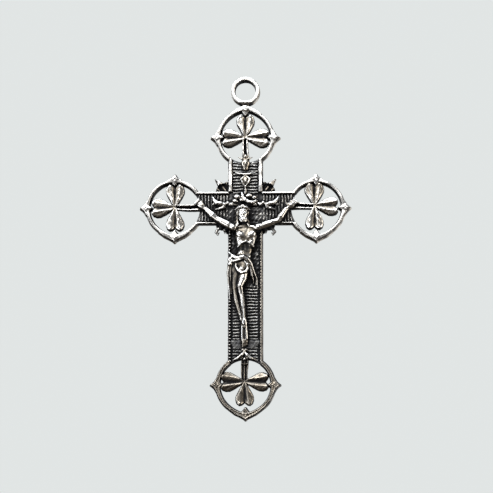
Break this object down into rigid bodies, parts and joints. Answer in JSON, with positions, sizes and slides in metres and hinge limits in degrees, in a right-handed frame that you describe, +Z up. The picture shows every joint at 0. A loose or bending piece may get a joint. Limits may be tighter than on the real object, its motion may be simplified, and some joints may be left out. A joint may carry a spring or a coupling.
{
  "type": "crucifix pendant",
  "caption": "Latin cross pendant with a fixed hanging ring, openwork round medallions holding shamrocks at its ends, and a figure in relief nailed to a ribbed plate.",
  "frame": {"origin": "centre of the hanging ring's hole, midway through its depth", "axes": "+Z up the upright to the hanging ring, -Y out of the face, +X to the viewer's right, +Y out of the flat back"},
  "size_m": [0.031, 0.0032, 0.0508],
  "materials": {
    "border_silver": "polished silver, lightly worn, darkened in its corners",
    "ornament_silver": "cast silver with polished crests and blackened recesses",
    "figure_silver": "cast silver, crests rubbed bright, oxidised folds",
    "oxidised_silver": "blackened silver with bright rib crests",
    "tarnished_silver": "warm tarnished silver"
  },
  "bodies": {
    "root": {"cross_plate": "oxidised_silver", "upper_rail_left": "border_silver", "upper_rail_right": "border_silver", "crossbar_top_rail_left": "border_silver", "crossbar_top_rail_right": "border_silver", "crossbar_lower_rail_left": "border_silver", "crossbar_lower_rail_right": "border_silver", "milled_edge_left": "ornament_silver", "milled_edge_right": "ornament_silver", "bail_ring": "border_silver", "medallion_frame_top": "border_silver", "medallion_frame_left": "border_silver", "medallion_frame_right": "border_silver", "medallion_frame_bottom": "border_silver", "shamrock_top": "ornament_silver", "shamrock_left": "ornament_silver", "shamrock_right": "ornament_silver", "shamrock_bottom": "tarnished_silver", "upper_leaf_left": "oxidised_silver", "upper_leaf_right": "oxidised_silver", "lower_leaf_left": "oxidised_silver", "lower_leaf_right": "oxidised_silver", "top_bud": "tarnished_silver", "shield_bud": "ornament_silver", "palmette": "ornament_silver", "scroll_left": "ornament_silver", "scroll_right": "ornament_silver", "foot_mound": "oxidised_silver", "lower_fleur": "ornament_silver", "corpus_torso": "figure_silver", "corpus_head": "figure_silver", "crown_of_thorns": "figure_silver", "corpus_arm_left": "figure_silver", "corpus_arm_right": "figure_silver", "loincloth": "figure_silver", "corpus_legs": "figure_silver", "hand_nail_left": "tarnished_silver", "hand_nail_right": "tarnished_silver", "foot_nail": "tarnished_silver"}
  },
  "joints": []
}
